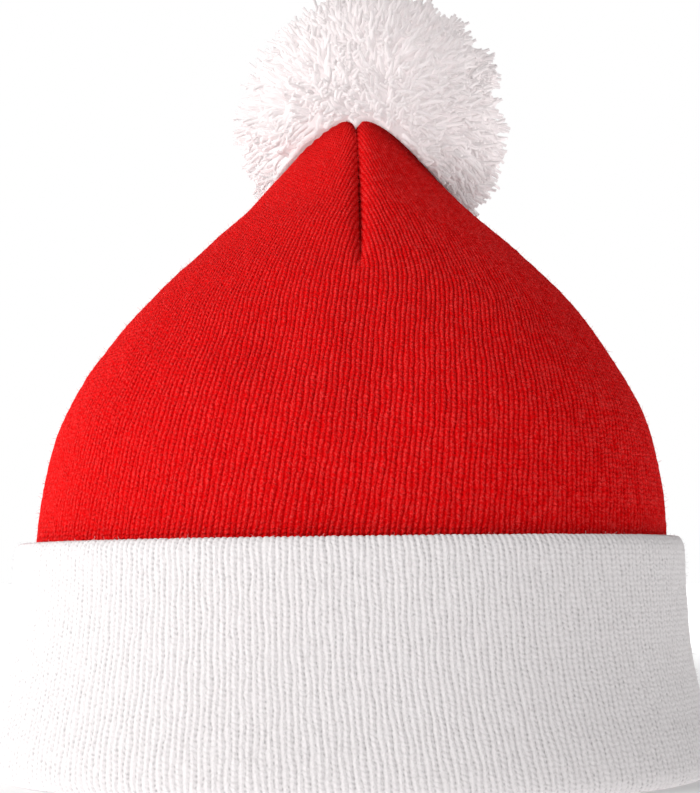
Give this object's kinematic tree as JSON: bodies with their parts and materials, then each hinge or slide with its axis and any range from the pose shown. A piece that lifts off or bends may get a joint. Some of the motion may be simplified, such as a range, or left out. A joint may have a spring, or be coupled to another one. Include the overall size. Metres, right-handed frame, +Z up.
{
  "type": "knitted santa hat",
  "caption": "Knitted beanie with a red ribbed crown drawn to a peak by sewn darts, a turned-up white ribbed cuff and a fluffy white yarn pompom; worn on the head.",
  "frame": {"origin": "middle of the rim, on the surface that the hat stands on", "axes": "+Z up towards the pompom, -Y the front shown in the picture, +X to the right seen from the front"},
  "size_m": [0.2134, 0.1727, 0.2447],
  "materials": {
    "red_knit": "matt red rib knit",
    "white_knit": "matt white rib knit",
    "pompom_yarn": "fluffy white yarn with cut ends",
    "tie_yarn": "plain white yarn"
  },
  "bodies": {
    "root": {"crown": "red_knit", "cuff": "white_knit", "pompom": "pompom_yarn", "pompom_tie": "tie_yarn"}
  },
  "joints": []
}
